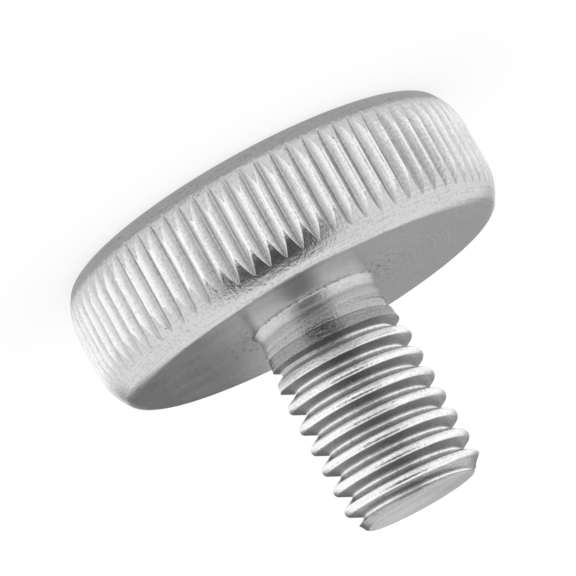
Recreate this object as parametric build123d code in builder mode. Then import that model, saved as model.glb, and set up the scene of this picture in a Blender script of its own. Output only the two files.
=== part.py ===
import math
import os

from build123d import *

os.makedirs("parts", exist_ok=True)

# Knurled head, standing on its flat top
head_diameter = 15.1
head_thickness = 4.5
shoulder_width = 0.57
shoulder_height = 0.9
rim_break_share = 0.5
face_break_share = 0.13
knurl_count = 78
knurl_depth = 0.22
knurl_angle = 101.0

# Underside, dished from its flat outer land to the plain neck
land_width = 0.78
dish_depth = 0.12
neck_diameter = 4.5
neck_length = 0.65
neck_foot = 0.13

# Thread cut with a die, whose lead leaves the first turns shallow
thread_diameter = 4.96
thread_pitch = 0.8
thread_angle = 60.0
crest_flat_share = 0.2
root_flat_share = 0.04
runout_length = 1.3
crest_taper_length = 1.7
shank_length = 7.5
tip_chamfer_length = 0.45
tip_diameter = 4.04
left_hand_thread = True

# How far a cut or a buried end runs past the surface it meets
overrun = 0.03

# Head sizes that follow
head_radius = head_diameter / 2
face_radius = head_radius - shoulder_width
shoulder_run = math.hypot(shoulder_width, shoulder_height)
rim_break = rim_break_share * shoulder_run
face_break = face_break_share * shoulder_run
knurl_root_radius = head_radius - knurl_depth
knurl_reach = knurl_depth + overrun
knurl_half_width = knurl_reach * math.tan(math.radians(knurl_angle / 2))
half_tooth_angle = 180 / knurl_count
dish_radius = face_radius - land_width

# Thread section that follows
neck_radius = neck_diameter / 2
thread_radius = thread_diameter / 2
crest_flat = crest_flat_share * thread_pitch
root_flat = root_flat_share * thread_pitch
flank_lean = math.tan(math.radians(thread_angle / 2))
thread_depth = (thread_pitch - crest_flat - root_flat) / 2 / flank_lean
mouth_half_width = root_flat / 2 + (thread_depth + overrun) * flank_lean
root_radius = thread_radius - thread_depth
tip_radius = tip_diameter / 2

# Heights along the axis, from the head's flat top to the tip
underside = head_thickness
dish_floor = underside - dish_depth
neck_end = underside + neck_length
rod_start = underside + neck_length / 2
runout_end = neck_end + runout_length
taper_end = neck_end + crest_taper_length
tip = underside + shank_length
groove_start = neck_end - thread_pitch
turn_count = math.ceil((tip - groove_start) / thread_pitch) + 1
turn_places = [(0, 0, turn * thread_pitch) for turn in range(turn_count)]

# One turn of the thread groove
with BuildPart() as groove_turn:
    with BuildLine() as helix:
        Helix(
            pitch=thread_pitch,
            height=thread_pitch,
            radius=thread_radius,
            center=(0, 0, groove_start),
            lefthand=left_hand_thread,
        )
    with BuildSketch(Plane(origin=helix.line @ 0, x_dir=(1, 0, 0), z_dir=(0, -1, 0))):
        Polygon(
            (-thread_depth, -root_flat / 2),
            (overrun, -mouth_half_width),
            (overrun, mouth_half_width),
            (-thread_depth, root_flat / 2),
            align=None,
        )
    sweep(path=helix.line, is_frenet=True)

with BuildPart() as thumb_screw:
    # Rod with its chamfered tip, its foot buried in the neck
    with BuildSketch(Plane.XZ):
        with BuildLine():
            Polyline(
                (0, rod_start),
                (neck_radius - overrun, rod_start),
                (thread_radius, taper_end),
                (thread_radius, tip - tip_chamfer_length),
                (tip_radius, tip),
                (0, tip),
                close=True,
            )
        make_face()
    revolve(axis=Axis.Z)

    # Thread groove, turn after turn past the tip
    with Locations(*turn_places):
        add(groove_turn.part, mode=Mode.SUBTRACT)

    # Head, neck, and the cone that fills the first shallow turns
    with BuildSketch(Plane.XZ):
        with BuildLine():
            Polyline(
                (0, 0),
                (face_radius, 0),
                (head_radius, shoulder_height),
                (head_radius, underside - shoulder_height),
                (face_radius, underside),
                (dish_radius, underside),
                (neck_radius, dish_floor),
                (neck_radius, neck_end),
                (root_radius - overrun, runout_end),
                (0, runout_end),
                close=True,
            )
        make_face()
        chamfer(vertices().group_by(Axis.X)[-4].sort_by(Axis.Y)[0], neck_foot)
        chamfer(vertices().group_by(Axis.X)[-2], face_break)
        chamfer(vertices().group_by(Axis.X)[-1], rim_break)
    revolve(axis=Axis.Z)

    # Straight knurl, running out on both shoulders
    with BuildSketch(Plane.XY):
        with PolarLocations(knurl_root_radius, knurl_count, start_angle=half_tooth_angle):
            Polygon(
                (0, 0),
                (knurl_reach, -knurl_half_width),
                (knurl_reach, knurl_half_width),
                align=None,
            )
    extrude(amount=head_thickness, mode=Mode.SUBTRACT)

thumb_screw.part.label = "thumb_screw"
export_step(thumb_screw.part, "parts/thumb_screw.step")
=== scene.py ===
import math
from collections import namedtuple

import bmesh
import bpy
from bpy.props import FloatProperty, FloatVectorProperty, IntProperty, PointerProperty
from mathutils import Matrix, Vector


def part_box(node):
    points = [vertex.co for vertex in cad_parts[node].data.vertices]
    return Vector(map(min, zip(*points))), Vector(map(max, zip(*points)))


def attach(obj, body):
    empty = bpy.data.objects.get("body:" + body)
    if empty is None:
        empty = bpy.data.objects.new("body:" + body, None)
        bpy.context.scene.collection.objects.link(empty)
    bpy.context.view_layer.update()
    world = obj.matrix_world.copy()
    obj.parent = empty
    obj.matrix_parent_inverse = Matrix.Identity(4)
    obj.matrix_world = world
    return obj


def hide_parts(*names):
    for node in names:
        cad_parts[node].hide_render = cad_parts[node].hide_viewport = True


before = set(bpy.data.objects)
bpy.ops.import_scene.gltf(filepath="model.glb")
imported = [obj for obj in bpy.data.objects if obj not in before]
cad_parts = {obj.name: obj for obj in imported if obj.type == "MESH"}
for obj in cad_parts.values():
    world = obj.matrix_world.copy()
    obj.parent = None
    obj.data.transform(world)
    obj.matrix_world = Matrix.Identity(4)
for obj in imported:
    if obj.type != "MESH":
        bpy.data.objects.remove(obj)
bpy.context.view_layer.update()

bl_info = {
    "name": "Thumb Screw",
    "version": (1, 0, 0),
    "blender": (4, 5, 0),
    "location": "View3D > Sidebar > Thumb Screw",
    "description": "Turns, knurls and threads a thumb screw and sets its stage",
    "category": "Object",
}

MM = 0.001

# The solid that the screw stands for, and its sizes
NODE = "thumb_screw"
SCREW = "thumb_screw_steel"
lowest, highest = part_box(NODE)
head_across = max(highest.x - lowest.x, highest.y - lowest.y)
screw_length = highest.z - lowest.z

# Points this near are one, and points this near a cut lie on it
WELD = 2e-6
ON_CUT = WELD / 10
# How far a hidden end or a cut reaches past the surface it meets
BURIED = 0.03 * MM
# How far the knurl's cutter reaches past the rim
CLEAR = 0.004 * MM
# From the end of a rounding to the line that keeps the flank beside it straight
SUPPORT = 0.012 * MM
# Millimetres by which the head's diameter stays under the width of the solid's box
INSIDE = 0.002
# Share of a step that keeps the points of the threaded rod off those of the blank
OFF_STEP = 0.37

# What each tool left on the steel: noise cells for each metre, and depths in millimetres
Lay = namedtuple("Lay", "marks score grain specks")
LAYS = {
    "turned": Lay(marks=20000, score=0.0015, grain=0.015, specks=5200),
    "rolled": Lay(marks=11000, score=0.012, grain=0.014, specks=None),
    "cut": Lay(marks=14000, score=0.007, grain=0.02, specks=7000),
    "neck": Lay(marks=14000, score=0.012, grain=0.016, specks=7000),
}
# Mottle and patches of the plating, in noise cells for each metre
MOTTLE = 9000
PATCHES = 700
# How much the finer octaves count in the noise of mottle and marks
GRAIN_ROUGHNESS = 0.6
# Scales that draw out the rolled marks along the axis, and the other marks round it
ROLLED_STRETCH = 0.07
DRIFT = 0.04
# Spans of noise that the plating's tone and haze follow, and the span of that tone
WORN_NOISE = (0.75, 1.05)
HAZE_NOISE = (0.35, 0.65)
WORN_TONE = (0.84, 1.08)
# Dirt specks, which gather from the outer to the inner of these distances from the axis
SPECK_NOISE = (0.69, 0.75)
SPECK_DETAIL = 3
SPECK_RADII = (5.2 * MM, 2.4 * MM)
SPECK_GATHER = 0.13
# Painted highlight along the bottom of the thread's groove, and the start and end of its bright
# crest, a painted highlight with burnished wear
ROOT_HIGHLIGHT = 0.06 * MM
CREST_FADE = 0.1 * MM
CREST_BRIGHT = 0.03 * MM

# Cards that only the steel's reflections show, their spans along X, Y and Z in millimetres. The
# upright ones are dark flags; those lying on the floor are grey patches of floor, painted shade at
# the right and front right and a painted contact shadow under the head.
Flag = namedtuple("Flag", "across deep high softness level")
FLAGS = {
    "camera": Flag((-90, 140), (-150, -150), (5, 235), softness=25, level=0.1),
    "back_left": Flag((0, 34), (40, 40), (1, 34), softness=5, level=0.2),
    "back_right": Flag((-34, 4), (41, 41), (1, 34), softness=5, level=0.42),
    # Painted shade on the floor at the front right and right, as if a lamp stood to the left
    "front_right": Flag((-15, -2), (-26, -10), (0.02, 0.02), softness=3, level=0.4),
    "right": Flag((-30, -13), (-16, 8), (0.03, 0.03), softness=4, level=0.7),
    "front": Flag((-18, 3), (-70, -30), (0.02, 0.02), softness=5, level=0.5),
    # Painted contact shadow on the floor under the head
    "under": Flag((-7.8, 7.8), (-7.8, 7.8), (0.01, 0.01), softness=0.3, level=0.5),
}
# Side of the floor, in metres
FLOOR_SIZE = 4.0

# The camera's sensor in millimetres, the picture's side and the underside's centre in pixels
SENSOR = 36.0
PICTURE = 576
AIM = (315.2, 309.5)


def length(name, description, millimetres):
    """A length property, its default given in millimetres."""
    return FloatProperty(name=name, description=description, default=millimetres * MM,
                         min=0.0, precision=5, unit="LENGTH")


def share(name, description, value):
    """A property from nothing to one."""
    return FloatProperty(name=name, description=description, default=value,
                         min=0.0, max=1.0, subtype="FACTOR")


class HeadSizes(bpy.types.PropertyGroup):
    """Sizes of the knurled head and the neck under it"""
    diameter: length("Head diameter", "Across the knurl's ridges", head_across / MM - INSIDE)
    thickness: length("Head thickness", "From the flat top to the underside", 4.5)
    shoulder_width: length("Shoulder width", "How far each sloped shoulder goes in", 0.57)
    shoulder_height: length("Shoulder height", "How far each sloped shoulder goes along", 0.9)
    rim_round: length("Rim rounding", "Setback of the round between rim and shoulder", 0.53)
    face_round: length("Face rounding", "Setback of the round at the flat faces", 0.3)
    land_width: length("Land width", "Flat outer land of the underside", 0.78)
    dish_depth: length("Dish depth", "How far the underside is dished at the neck", 0.12)
    neck_diameter: length("Neck diameter", "Neck where the thread starts", 4.52)
    neck_length: length("Neck length", "From the underside to the thread", 0.65)
    foot_diameter: length("Foot diameter", "Neck where it leaves the underside", 4.62)
    waist_diameter: length("Waist diameter", "Neck where it is thinnest", 4.36)
    waist_height: length("Waist height", "From the underside to the waist", 0.24)
    neck_round: length("Neck rounding", "Setback of the rounds at foot and waist", 0.09)


class KnurlSizes(bpy.types.PropertyGroup):
    """Sizes of the straight knurl"""
    count: IntProperty(name="Grooves", description="Knurl grooves round the rim",
                       default=78, min=12)
    depth: length("Groove depth", "From ridge to groove floor", 0.22)
    floor_width: length("Groove floor", "Width of the groove's floor", 0.034)
    floor_round: length("Floor rounding", "Setback of the rounds at the floor's edges", 0.015)
    angle: FloatProperty(name="Groove angle", description="Between the groove's two sides",
                         default=math.radians(98), subtype="ANGLE")
    ridge_depth: length("Ridge rounding", "How far down the ridges are rounded", 0.025)
    land: length("Ridge land", "Width left of the rim on each ridge", 0.018)


class ThreadSizes(bpy.types.PropertyGroup):
    """Sizes of the cut thread"""
    diameter: length("Thread diameter", "Across the crests", 4.96)
    pitch: length("Pitch", "From crest to crest", 0.8)
    crest_width: length("Crest width", "Flat left on each crest", 0.22)
    floor_width: length("Groove floor", "Flat at the bottom of the groove", 0.06)
    root_round: length("Root rounding", "Setback of the rounds at the groove's bottom", 0.021)
    crest_round: length("Crest rounding", "Setback of the round at the crest's edges", 0.08)
    angle: FloatProperty(name="Thread angle", description="Between the groove's two sides",
                         default=math.radians(56), subtype="ANGLE")
    runout: length("Run-out", "Length over which the die's lead deepens the groove", 1.3)
    taper: length("Crest taper", "Length over which the crests rise from the neck", 1.7)
    tip_chamfer: length("Tip chamfer", "Length of the chamfer at the tip", 0.5)
    worn_diameter: length("Worn diameter", "Across the worn middle of the chamfer", 4.44)
    end_diameter: length("End diameter", "Across the chamfer's end", 4.24)
    tip_diameter: length("Tip diameter", "Across the end face", 4.04)


class SteelFinish(bpy.types.PropertyGroup):
    """Finish of the plated steel, with painted shade in the knurl's grooves and on the thread's
    flanks and painted highlight on crests, thread roots and ridges
    """
    # Painted highlight on crests, thread roots and ridges, with burnished wear on crests and
    # ridges
    burnish_and_highlight: share("Burnished steel", "Reflectance of crests, thread roots and ridges", 0.92)
    turned: share("Turned steel", "Reflectance of the turned faces", 0.62)
    # Painted shade on the thread's flanks
    flank_shade: share("Dull steel", "Reflectance of the thread's flanks", 0.45)
    # Painted shade in the knurl's grooves
    rolled: share("Rolled steel", "Reflectance of the knurl's grooves", 0.54)
    speck: share("Specks", "Reflectance of the dirt specks", 0.2)
    smooth: share("Smoothest", "Roughness of the smoothest plating", 0.13)
    rough: share("Roughest", "Roughness of the roughest plating", 0.24)
    neck: share("Neck", "Roughness of the roughest of the neck", 0.38)


class StageSettings(bpy.types.PropertyGroup):
    """Floor, white room and camera"""
    floor: FloatVectorProperty(name="Floor", description="Colour of the floor",
                               default=(0.22, 0.22, 0.22), min=0, max=1, subtype="COLOR")
    floor_glow: share("Floor glow", "Light of the floor in the picture and in the metal", 0.79)
    room: share("Room", "Brightness of the white room", 1.0)
    distance: length("Camera distance", "From the camera to the underside's centre", 121.0)
    lens: FloatProperty(name="Lens", description="Focal length in millimetres",
                        default=222.3, unit="CAMERA")
    elevation: FloatProperty(name="Elevation", description="Camera above the underside",
                             default=math.radians(10.95), subtype="ANGLE")
    roll: FloatProperty(name="Roll", description="Lean of the screw's axis in the picture",
                        default=math.radians(29.1), subtype="ANGLE")


def deselect_everything():
    if bpy.context.mode != "OBJECT":
        bpy.ops.object.mode_set(mode="OBJECT")
    bpy.ops.object.select_all(action="DESELECT")


def make_active(piece):
    deselect_everything()
    piece.select_set(True)
    bpy.context.view_layer.objects.active = piece


def draw_profile(name, points):
    """Draws a line in the XZ plane, each vertex extruded from the last, and stays in edit mode."""
    deselect_everything()
    bpy.ops.mesh.primitive_plane_add(size=MM)
    piece = bpy.context.object
    piece.name = piece.data.name = name
    bpy.ops.object.mode_set(mode="EDIT")
    bpy.ops.mesh.select_mode(type="VERT")
    bpy.ops.mesh.select_all(action="SELECT")
    bpy.ops.mesh.merge(type="CENTER")
    places = [Vector((across, 0, along)) for across, along in points]
    bpy.ops.transform.translate(value=places[0])
    for before, after in zip(places, places[1:]):
        bpy.ops.mesh.extrude_region_move(TRANSFORM_OT_translate={"value": after - before})
    return piece


def pick_vertices(piece, wanted):
    """Selects the vertices whose place answers the test, in edit mode."""
    bpy.ops.mesh.select_mode(type="VERT")
    bpy.ops.mesh.select_all(action="DESELECT")
    shape = bmesh.from_edit_mesh(piece.data)
    for vertex in shape.verts:
        vertex.select_set(wanted(vertex.co))
    shape.select_flush_mode()
    bmesh.update_edit_mesh(piece.data)


def pick_edges(piece, wanted):
    """Selects the edges whose two ends answer the test, in edit mode."""
    bpy.ops.mesh.select_mode(type="EDGE")
    bpy.ops.mesh.select_all(action="DESELECT")
    shape = bmesh.from_edit_mesh(piece.data)
    for edge in shape.edges:
        edge.select_set(wanted(*(end.co for end in edge.verts)))
    shape.select_flush_mode()
    bmesh.update_edit_mesh(piece.data)


def round_corner(piece, corner, setback, segments):
    """Rounds the one corner of a drawn profile that lies at this place."""
    place = Vector((corner[0], 0, corner[1]))
    pick_vertices(piece, lambda spot: (spot - place).length < WELD)
    bpy.ops.mesh.bevel(offset=setback, segments=segments, affect="VERTICES")


def turn(steps):
    """Spins the drawn profile once round the axis and closes the seam."""
    bpy.ops.mesh.select_all(action="SELECT")
    bpy.ops.mesh.spin(steps=steps, angle=math.tau, center=(0, 0, 0), axis=(0, 0, 1))
    bpy.ops.mesh.select_all(action="SELECT")
    bpy.ops.mesh.remove_doubles(threshold=WELD)
    bpy.ops.mesh.normals_make_consistent(inside=False)
    bpy.ops.object.mode_set(mode="OBJECT")


def cut_with(piece, tool, operation):
    """Applies a Boolean of the tool to the piece and deletes the tool."""
    make_active(piece)
    boolean = piece.modifiers.new(operation.title(), "BOOLEAN")
    boolean.operation = operation
    boolean.solver = "EXACT"
    boolean.object = tool
    bpy.ops.object.modifier_apply(modifier=boolean.name)
    bpy.data.objects.remove(tool)
    if not piece.data.polygons:
        raise RuntimeError("nothing was left of " + piece.name)


def thread_depth(thread):
    """Depth of the thread's groove, from crest to root."""
    slope = math.tan(thread.angle / 2)
    return (thread.pitch - thread.crest_width - thread.floor_width) / 2 / slope


def thread_root(thread):
    """Radius at the bottom of the thread's groove."""
    return thread.diameter / 2 - thread_depth(thread)


class SCREW_OT_turn_blank(bpy.types.Operator):
    """Turn the blank: head, neck and the cone where the thread runs out"""
    bl_idname = "screw.turn_blank"
    bl_label = "Turn the Blank"
    bl_options = {"REGISTER", "UNDO"}

    steps_per_groove = 6
    face_segments = 6
    rim_segments = 12
    neck_segments = 6

    def execute(self, context):
        head = context.scene.screw_head
        knurl = context.scene.screw_knurl
        thread = context.scene.screw_thread
        rim = head.diameter / 2
        face = rim - head.shoulder_width
        underside = head.thickness
        neck_end = underside + head.neck_length
        corners = [
            (0, 0),
            (face, 0),
            (rim, head.shoulder_height),
            (rim, underside - head.shoulder_height),
            (face, underside),
            (face - head.land_width, underside),
            (head.foot_diameter / 2, underside - head.dish_depth),
            (head.waist_diameter / 2, underside + head.waist_height),
            (head.neck_diameter / 2, neck_end),
            (thread_root(thread) - BURIED, neck_end + thread.runout),
            (0, neck_end + thread.runout),
        ]
        blank = draw_profile(SCREW, corners)
        for corner in corners[1], corners[4]:
            round_corner(blank, corner, head.face_round, self.face_segments)
        for corner in corners[2], corners[3]:
            round_corner(blank, corner, head.rim_round, self.rim_segments)
        for corner in corners[6], corners[7]:
            round_corner(blank, corner, head.neck_round, self.neck_segments)
        turn(self.steps_per_groove * knurl.count)
        return {"FINISHED"}


class SCREW_OT_roll_knurl(bpy.types.Operator):
    """Cut the straight knurl, groove by groove, into the rim"""
    bl_idname = "screw.roll_knurl"
    bl_label = "Roll the Knurl"
    bl_options = {"REGISTER", "UNDO"}

    floor_segments = 3
    # Height of the line that keeps the groove's side straight, in roundings of its floor
    support_height = 1.3

    def execute(self, context):
        knurl = context.scene.screw_knurl
        step = math.tau / knurl.count
        wheel = self.shape_tooth(context.scene.screw_head, knurl, step)
        bpy.ops.mesh.select_all(action="SELECT")
        bpy.ops.transform.rotate(value=-step / 2, orient_axis="Z", center_override=(0, 0, 0))
        bpy.ops.mesh.spin(steps=knurl.count - 1, angle=math.tau - step,
                          center=(0, 0, 0), axis=(0, 0, 1), dupli=True)
        bpy.ops.mesh.select_all(action="SELECT")
        bpy.ops.mesh.normals_make_consistent(inside=False)
        cut_with(bpy.data.objects[SCREW], wheel, "DIFFERENCE")
        return {"FINISHED"}

    def shape_tooth(self, head, knurl, step):
        """One tooth of the wheel, which cuts one groove, and stays in edit mode."""
        rim = head.diameter / 2
        groove_floor = rim - knurl.depth
        reach = knurl.depth + CLEAR
        ease = rim - knurl.ridge_depth
        lean = math.tan(knurl.angle / 2)
        mouth = knurl.floor_width + 2 * reach * lean
        waist = knurl.floor_width / 2 + (knurl.depth - knurl.ridge_depth) * lean
        lip = rim * step / 2 - knurl.land / 2
        flare = waist + (lip - waist) * (knurl.ridge_depth + CLEAR) / knurl.ridge_depth
        support = groove_floor + self.support_height * knurl.floor_round
        deselect_everything()
        bpy.ops.mesh.primitive_cube_add(
            size=1, location=(groove_floor + reach / 2, 0, head.thickness / 2),
            scale=(reach, mouth, head.thickness))
        tooth = bpy.context.object
        bpy.ops.object.transform_apply(location=True, rotation=True, scale=True)
        bpy.ops.object.mode_set(mode="EDIT")
        pick_vertices(tooth, lambda spot: spot.x < groove_floor + WELD)
        bpy.ops.transform.resize(value=(1, knurl.floor_width / mouth, 1))
        for across in support, ease - SUPPORT, ease:
            bpy.ops.mesh.select_all(action="SELECT")
            bpy.ops.mesh.bisect(plane_co=(across, 0, 0), plane_no=(1, 0, 0), threshold=ON_CUT)
        pick_vertices(tooth, lambda spot: spot.x > rim)
        bpy.ops.transform.resize(value=(1, 2 * flare / mouth, 1))
        pick_edges(tooth, lambda one, other: max(one.x, other.x) < groove_floor + WELD
                   and abs(one.z - other.z) > head.thickness / 2)
        bpy.ops.mesh.bevel(offset=knurl.floor_round, segments=self.floor_segments, affect="EDGES")
        return tooth


class SCREW_OT_cut_thread(bpy.types.Operator):
    """Cut the thread on a rod with a chamfered tip and grow it on the blank"""
    bl_idname = "screw.cut_thread"
    bl_label = "Cut the Thread"
    bl_options = {"REGISTER", "UNDO"}

    steps_per_turn = 156
    crest_segments = 5
    root_segments = 3
    # Steps of the rod's outline for each step of the thread
    rod_steps = 3
    # Turns wound past each end and cut off again
    spare_turns = 2
    # Share of the neck's length at which the rod starts, hidden in the neck
    foot_share = 0.85
    # Shares of the chamfer's length left from its worn middle and from its end to the tip
    worn_share = 0.5
    end_share = 0.125

    def execute(self, context):
        head = context.scene.screw_head
        thread = context.scene.screw_thread
        foot = head.thickness + self.foot_share * head.neck_length
        start = head.thickness + head.neck_length - self.spare_turns * thread.pitch
        turns = math.ceil((screw_length - start) / thread.pitch) + self.spare_turns
        rod = self.draw_section(thread, start)
        self.wind(rod, thread, turns)
        self.trim(foot - BURIED, screw_length + BURIED)
        cut_with(rod, self.turn_rod(head, thread, foot), "INTERSECT")
        make_active(rod)
        bpy.ops.object.mode_set(mode="EDIT")
        bpy.ops.mesh.select_all(action="SELECT")
        bpy.ops.transform.rotate(value=OFF_STEP * math.tau / self.steps_per_turn / self.rod_steps,
                                 orient_axis="Z", center_override=(0, 0, 0))
        cut_with(bpy.data.objects[SCREW], rod, "UNION")
        return {"FINISHED"}

    def draw_section(self, thread, start):
        """One pitch of the thread, from the middle of a groove to the middle of the next."""
        crest, depth, root = thread.diameter / 2, thread_depth(thread), thread_root(thread)
        half_floor = thread.floor_width / 2
        half_crest = thread.crest_width / 2
        middle = thread.pitch / 2
        slope = Vector((depth, middle - half_crest - half_floor)).normalized()
        by_root = slope * (thread.root_round + SUPPORT)
        by_crest = slope * (thread.crest_round + SUPPORT)
        half = [
            (root, 0),
            (root, half_floor),
            (root + by_root.x, half_floor + by_root.y),
            (crest - by_crest.x, middle - half_crest - by_crest.y),
            (crest, middle - half_crest),
        ]
        other_half = [(across, thread.pitch - along) for across, along in reversed(half)]
        section = [(across, start + along) for across, along in half + other_half]
        rod = draw_profile("thread", section)
        for corner in section[4], section[5]:
            round_corner(rod, corner, thread.crest_round, self.crest_segments)
        for corner in section[1], section[8]:
            round_corner(rod, corner, thread.root_round, self.root_segments)
        bpy.ops.object.mode_set(mode="OBJECT")
        return rod

    def wind(self, rod, thread, turns):
        """Winds the drawn section round the axis, left-handed."""
        screw = rod.modifiers.new("Screw", "SCREW")
        screw.axis = "Z"
        screw.angle = -math.tau
        screw.screw_offset = thread.pitch
        screw.iterations = turns
        screw.steps = screw.render_steps = self.steps_per_turn
        screw.use_merge_vertices = True
        screw.merge_threshold = WELD
        make_active(rod)
        bpy.ops.object.modifier_apply(modifier=screw.name)

    def trim(self, lower, upper):
        """Cuts the wound rod to length and closes both ends."""
        bpy.ops.object.mode_set(mode="EDIT")
        bpy.ops.mesh.select_all(action="SELECT")
        bpy.ops.mesh.remove_doubles(threshold=WELD)
        bpy.ops.mesh.bisect(plane_co=(0, 0, lower), plane_no=(0, 0, 1), use_fill=True,
                            clear_inner=True, threshold=ON_CUT)
        bpy.ops.mesh.select_all(action="SELECT")
        bpy.ops.mesh.bisect(plane_co=(0, 0, upper), plane_no=(0, 0, 1), use_fill=True,
                            clear_outer=True, threshold=ON_CUT)
        bpy.ops.mesh.select_all(action="SELECT")
        bpy.ops.mesh.normals_make_consistent(inside=False)
        bpy.ops.object.mode_set(mode="OBJECT")

    def turn_rod(self, head, thread, foot):
        """The rod's outline, tapered up from the neck, with a worn chamfer at the tip."""
        crest = thread.diameter / 2
        neck_end = head.thickness + head.neck_length
        chamfer, tip = thread.tip_chamfer, screw_length
        rod = draw_profile("rod", [
            (0, foot),
            (head.neck_diameter / 2 - 2 * BURIED, foot),
            (crest, neck_end + thread.taper),
            (crest, tip - chamfer),
            (thread.worn_diameter / 2, tip - self.worn_share * chamfer),
            (thread.end_diameter / 2, tip - self.end_share * chamfer),
            (thread.tip_diameter / 2, tip),
            (0, tip),
        ])
        turn(self.rod_steps * self.steps_per_turn)
        return rod


class SCREW_OT_finish_steel(bpy.types.Operator):
    """Smooth the screw and give it its plated finish"""
    bl_idname = "screw.finish_steel"
    bl_label = "Finish the Steel"
    bl_options = {"REGISTER", "UNDO"}

    smooth_angle = math.radians(30)
    # Steepest lean of a knurled face, and how far under the groove's floor it may lie
    knurl_lean = 0.05
    knurl_slack = 5 * WELD
    # Share of the neck's length from which a face counts as thread
    thread_share = 0.8

    def execute(self, context):
        screw = bpy.data.objects[SCREW]
        make_active(screw)
        bpy.ops.object.mode_set(mode="EDIT")
        bpy.ops.mesh.select_all(action="SELECT")
        bpy.ops.mesh.remove_doubles(threshold=WELD)
        bpy.ops.mesh.normals_make_consistent(inside=False)
        bpy.ops.object.mode_set(mode="OBJECT")
        bpy.ops.object.shade_smooth_by_angle(angle=self.smooth_angle)
        self.give_finish(context.scene, screw)
        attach(screw, "root")
        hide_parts(NODE)
        return {"FINISHED"}

    def give_finish(self, scene, screw):
        head, thread = scene.screw_head, scene.screw_thread
        rim = head.diameter / 2
        groove_floor = rim - scene.screw_knurl.depth
        depths = {"rolled": (groove_floor, rim), "cut": (thread_root(thread), thread.diameter / 2)}
        slots = screw.data.materials
        slots.clear()
        for lay in LAYS:
            slots.append(plated_steel(scene.screw_finish, lay, thread.pitch, depths.get(lay)))
        lays = list(LAYS)
        for face in screw.data.polygons:
            face.material_index = lays.index(self.lay_of(face, head, groove_floor))

    def lay_of(self, face, head, groove_floor):
        """The lay of the tool marks on a face."""
        height, around = face.center.z, face.center.xy.length
        if height > head.thickness + head.neck_length * self.thread_share:
            return "cut"
        if abs(face.normal.z) < self.knurl_lean and around > groove_floor - self.knurl_slack:
            return "rolled"
        if height > head.thickness - head.dish_depth and around < head.foot_diameter / 2:
            return "neck"
        return "turned"


def add_node(tree, kind, sockets, **settings):
    """Adds a shader node, its sockets given as values or as the outputs that feed them."""
    node = tree.nodes.new(kind)
    for name, value in settings.items():
        setattr(node, name, value)
    for name, value in sockets.items():
        if isinstance(value, bpy.types.NodeSocket):
            tree.links.new(value, node.inputs[name])
        else:
            node.inputs[name].default_value = value
    return node


def fade(tree, value, start, end):
    """Goes softly from nothing at the start to one at the end."""
    return add_node(tree, "ShaderNodeMapRange", {
        "Value": value, "From Min": start, "From Max": end},
        interpolation_type="SMOOTHSTEP").outputs[0]


def spread(tree, value, taken, given=(0, 1)):
    """Takes one span of values to another, and stops at its ends."""
    return add_node(tree, "ShaderNodeMapRange", {
        "Value": value, "From Min": taken[0], "From Max": taken[1],
        "To Min": given[0], "To Max": given[1]}).outputs[0]


def noise(tree, place, scale, detail=4, roughness=0.5):
    """Noise between nothing and one, its scale in cells for each metre."""
    return add_node(tree, "ShaderNodeTexNoise", {
        "Vector": place, "Scale": scale, "Detail": detail,
        "Roughness": roughness}).outputs["Fac"]


def blend(tree, share_of_second, first, second):
    """Goes from the first value to the second."""
    return add_node(tree, "ShaderNodeMix", {0: share_of_second, 2: first, 3: second},
                    data_type="FLOAT").outputs[0]


def calculate(tree, operation, *values):
    """One step of arithmetic."""
    return add_node(tree, "ShaderNodeMath", dict(enumerate(values)),
                    operation=operation).outputs[0]


def radius(tree, place):
    """Distance from the screw's axis."""
    level = add_node(tree, "ShaderNodeVectorMath", {0: place, 1: (1, 1, 0)},
                     operation="MULTIPLY")
    return add_node(tree, "ShaderNodeVectorMath", {0: level.outputs[0]},
                    operation="LENGTH").outputs["Value"]


def tool_marks(tree, lay, place, lead):
    """Fine marks, along the knurl's grooves, round the turned faces and along the thread."""
    if lay == "rolled":
        along = add_node(tree, "ShaderNodeMapping", {
            "Vector": place, "Scale": (1, 1, ROLLED_STRETCH)})
    else:
        axes = add_node(tree, "ShaderNodeSeparateXYZ", {0: place}).outputs
        up = axes["Z"]
        if lay == "cut":
            angle = calculate(tree, "ARCTAN2", axes["Y"], axes["X"])
            up = calculate(tree, "MULTIPLY_ADD", angle, lead / math.tau, up)
        along = add_node(tree, "ShaderNodeCombineXYZ", {
            "X": radius(tree, place), "Y": up,
            "Z": calculate(tree, "MULTIPLY", axes["X"], DRIFT)})
    return noise(tree, along.outputs[0], LAYS[lay].marks, roughness=GRAIN_ROUGHNESS)


def dirt_specks(tree, lay, place):
    """Dark specks, which gather towards the neck on the turned underside."""
    dirt = noise(tree, place, LAYS[lay].specks, detail=SPECK_DETAIL)
    if lay == "turned":
        near_neck = fade(tree, radius(tree, place), *SPECK_RADII)
        dirt = calculate(tree, "MULTIPLY_ADD", near_neck, SPECK_GATHER, dirt)
    return spread(tree, dirt, SPECK_NOISE)


def plating(tree, finish, lay, place, depths):
    """Reflectance of the plating by depth in the knurl and in the thread: painted shade in the
    knurl's grooves and on the thread's flanks, painted highlight at the thread's roots, and
    painted highlight with burnished wear on ridges and crests.
    """
    if depths is None:
        return finish.turned
    around = radius(tree, place)
    floor, top = depths
    if lay == "rolled":
        # Knurl: painted shade in the grooves, painted highlight with burnished wear on the ridges
        return blend(tree, fade(tree, around, floor, top), finish.rolled, finish.burnish_and_highlight)
    # Thread: painted highlight at the root, painted shade on the flanks, painted highlight with
    # burnished wear on the crest
    flank = fade(tree, around, floor, floor + ROOT_HIGHLIGHT)
    crest = fade(tree, around, top - CREST_FADE, top - CREST_BRIGHT)
    root_highlight_and_flank_shade = blend(tree, flank, finish.burnish_and_highlight, finish.flank_shade)
    return blend(tree, crest, root_highlight_and_flank_shade, finish.burnish_and_highlight)


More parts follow.
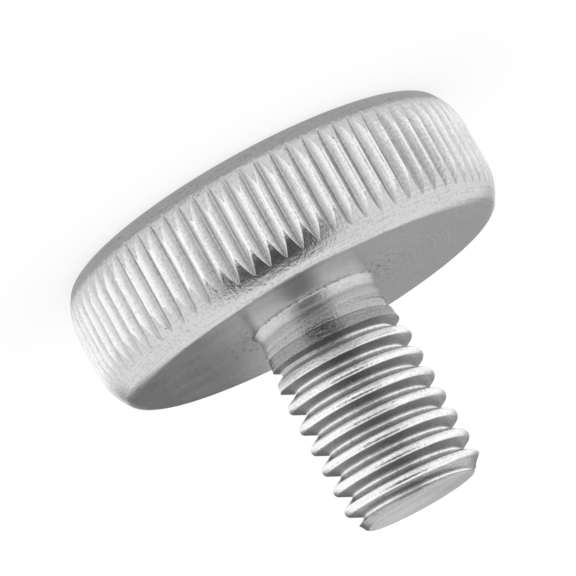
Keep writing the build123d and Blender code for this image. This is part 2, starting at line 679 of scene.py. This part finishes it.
def plated_steel(finish, lay, lead, depths):
    """Plated steel, its marks lying the way the tool left them."""
    steel = bpy.data.materials.new(lay + "_steel")
    steel.use_nodes = True
    tree = steel.node_tree
    shader = tree.nodes["Principled BSDF"].inputs
    place = add_node(tree, "ShaderNodeTexCoord", {}).outputs["Object"]
    marks = tool_marks(tree, lay, place, lead)
    mottle = noise(tree, place, MOTTLE, roughness=GRAIN_ROUGHNESS)
    patches = noise(tree, place, PATCHES)

    worn = calculate(tree, "ADD", mottle, marks)
    tone = spread(tree, worn, WORN_NOISE, WORN_TONE)
    # The reflectance by depth carries painted shade and painted highlight
    colour = calculate(tree, "MULTIPLY", tone, plating(tree, finish, lay, place, depths))
    if LAYS[lay].specks:
        colour = blend(tree, dirt_specks(tree, lay, place), colour, finish.speck)
    tree.links.new(colour, shader["Base Color"])

    haze = (finish.rough, finish.neck) if lay == "neck" else (finish.smooth, finish.rough)
    tree.links.new(spread(tree, patches, HAZE_NOISE, haze), shader["Roughness"])
    shader["Metallic"].default_value = 1.0

    grain = add_node(tree, "ShaderNodeBump", {
        "Height": mottle, "Strength": 1.0, "Distance": LAYS[lay].grain * MM})
    scored = add_node(tree, "ShaderNodeBump", {
        "Height": marks, "Strength": 1.0, "Distance": LAYS[lay].score * MM,
        "Normal": grain.outputs[0]})
    tree.links.new(scored.outputs[0], shader["Normal"])
    return steel


def stage_material(name):
    """An empty material for the stage."""
    material = bpy.data.materials.new(name)
    material.use_nodes = True
    material.node_tree.nodes.clear()
    return material


def floor_paper(stage):
    """Grey paper that keeps shadows, and is white in the picture and in the steel."""
    paper = stage_material("floor_paper")
    tree = paper.node_tree
    path = add_node(tree, "ShaderNodeLightPath", {}).outputs
    seen = path["Is Camera Ray"]
    for kind in "Is Glossy Ray", "Is Transmission Ray":
        seen = calculate(tree, "MAXIMUM", seen, path[kind])
    strength = calculate(tree, "MULTIPLY", seen, stage.floor_glow)
    glow = add_node(tree, "ShaderNodeEmission", {"Strength": strength})
    lit = add_node(tree, "ShaderNodeBsdfDiffuse", {"Color": (*stage.floor, 1)})
    both = add_node(tree, "ShaderNodeAddShader", {0: lit.outputs[0], 1: glow.outputs[0]})
    add_node(tree, "ShaderNodeOutputMaterial", {"Surface": both.outputs[0]})
    return paper


def flag_cloth(name, flag):
    """Plain cloth that fades out at the card's edges, in a circle where the card is square; on the
    cards lying at the right and under the head it is painted shade.
    """
    cloth = stage_material(name + "_flag_cloth")
    tree = cloth.node_tree
    place = add_node(tree, "ShaderNodeTexCoord", {}).outputs["Object"]
    axes = add_node(tree, "ShaderNodeSeparateXYZ", {0: place}).outputs
    edges = []
    if flag.across == flag.deep:
        rim = flag.across[1]
        edges.append(fade(tree, radius(tree, place), rim * MM, (rim - flag.softness) * MM))
    for axis, (start, end) in zip(axes, (flag.across, flag.deep, flag.high)):
        if start < end:
            edges.append(fade(tree, axis, start * MM, (start + flag.softness) * MM))
            edges.append(fade(tree, axis, end * MM, (end - flag.softness) * MM))
    cover = edges[0]
    for edge in edges[1:]:
        cover = calculate(tree, "MULTIPLY", cover, edge)
    clear = add_node(tree, "ShaderNodeBsdfTransparent", {})
    dark = add_node(tree, "ShaderNodeEmission", {"Strength": flag.level})
    both = add_node(tree, "ShaderNodeMixShader", {
        0: cover, 1: clear.outputs[0], 2: dark.outputs[0]})
    add_node(tree, "ShaderNodeOutputMaterial", {"Surface": both.outputs[0]})
    return cloth


class SCREW_OT_set_stage(bpy.types.Operator):
    """Set the floor, the white room, the dark flags with their painted shade on the floor, and the
    camera
    """
    bl_idname = "screw.set_stage"
    bl_label = "Set the Stage"
    bl_options = {"REGISTER", "UNDO"}

    def execute(self, context):
        scene = context.scene
        self.lay_floor(scene.screw_stage)
        self.set_world(scene, scene.screw_stage)
        for name, flag in FLAGS.items():
            self.hang_flag(name, flag)
        self.set_camera(scene, scene.screw_stage, scene.screw_head)
        scene.view_settings.view_transform = "Standard"
        return {"FINISHED"}

    def lay_floor(self, stage):
        deselect_everything()
        bpy.ops.mesh.primitive_plane_add(size=FLOOR_SIZE, location=(0, 0, 0))
        floor = bpy.context.object
        floor.name = "floor"
        floor.data.materials.append(floor_paper(stage))

    def set_world(self, scene, stage):
        world = bpy.data.worlds.new("white_room")
        scene.world = world
        world.use_nodes = True
        background = world.node_tree.nodes["Background"].inputs
        background["Color"].default_value = (1, 1, 1, 1)
        background["Strength"].default_value = stage.room

    def hang_flag(self, name, flag):
        """A dark card, upright where its span along Y is nothing, that only reflections show; the
        cards lying at the right and under the head are painted shade on the floor.
        """
        spans = flag.across, flag.deep, flag.high
        width, depth, height = [(end - start) * MM for start, end in spans]
        middle = [(end + start) / 2 * MM for start, end in spans]
        upright = not depth
        deselect_everything()
        bpy.ops.mesh.primitive_plane_add(
            size=1, location=middle, rotation=(math.pi / 2 if upright else 0, 0, 0))
        card = bpy.context.object
        card.name = name + "_flag"
        card.scale = (width, height if upright else depth, 1)
        bpy.ops.object.transform_apply(location=True, rotation=True, scale=True)
        card.data.materials.append(flag_cloth(name, flag))
        card.visible_camera = card.visible_diffuse = card.visible_shadow = False

    def set_camera(self, scene, stage, head):
        """A camera that sees the underside's centre at its place in the picture."""
        lean, rise = stage.roll, stage.elevation
        across = Vector((math.cos(lean), -math.sin(lean), 0))
        axis = Vector((math.sin(lean) * math.cos(rise), math.cos(lean) * math.cos(rise),
                       -math.sin(rise)))
        towards = axis.cross(across)
        to_frame = Matrix((-across, -towards, axis))
        camera_data = bpy.data.cameras.new("camera")
        camera_data.sensor_width = SENSOR
        camera_data.lens = stage.lens
        camera_data.clip_start = MM
        camera = bpy.data.objects.new("camera", camera_data)
        scene.collection.objects.link(camera)
        focal_pixels = stage.lens / SENSOR * PICTURE
        offset = Vector(((AIM[0] - PICTURE / 2) / focal_pixels,
                         (AIM[1] - PICTURE / 2) / focal_pixels, 1)) * stage.distance
        place = Vector((0, 0, head.thickness)) - to_frame @ offset
        flip = Matrix(((1, 0, 0), (0, -1, 0), (0, 0, -1)))
        camera.matrix_world = Matrix.Translation(place) @ (to_frame @ flip).to_4x4()
        scene.camera = camera


STEPS = (SCREW_OT_turn_blank, SCREW_OT_roll_knurl, SCREW_OT_cut_thread,
         SCREW_OT_finish_steel, SCREW_OT_set_stage)
SETTINGS = {"screw_head": HeadSizes, "screw_knurl": KnurlSizes, "screw_thread": ThreadSizes,
            "screw_finish": SteelFinish, "screw_stage": StageSettings}


class SCREW_PT_maker(bpy.types.Panel):
    """Lists the sizes and the steps that make the screw"""
    bl_label = "Thumb Screw"
    bl_idname = "SCREW_PT_maker"
    bl_space_type = "VIEW_3D"
    bl_region_type = "UI"
    bl_category = "Thumb Screw"

    def draw(self, context):
        for name, group in SETTINGS.items():
            box = self.layout.box()
            for key in group.__annotations__:
                box.prop(getattr(context.scene, name), key)
        for step in STEPS:
            self.layout.operator(step.bl_idname)


def register():
    for group in SETTINGS.values():
        bpy.utils.register_class(group)
    for step in STEPS:
        bpy.utils.register_class(step)
    bpy.utils.register_class(SCREW_PT_maker)
    for name, group in SETTINGS.items():
        setattr(bpy.types.Scene, name, PointerProperty(type=group))


def unregister():
    for name in SETTINGS:
        delattr(bpy.types.Scene, name)
    bpy.utils.unregister_class(SCREW_PT_maker)
    for step in reversed(STEPS):
        bpy.utils.unregister_class(step)
    for group in reversed(list(SETTINGS.values())):
        bpy.utils.unregister_class(group)


def main():
    register()
    bpy.ops.screw.turn_blank()
    bpy.ops.screw.roll_knurl()
    bpy.ops.screw.cut_thread()
    bpy.ops.screw.finish_steel()
    bpy.ops.screw.set_stage()


if __name__ == "__main__":
    main()
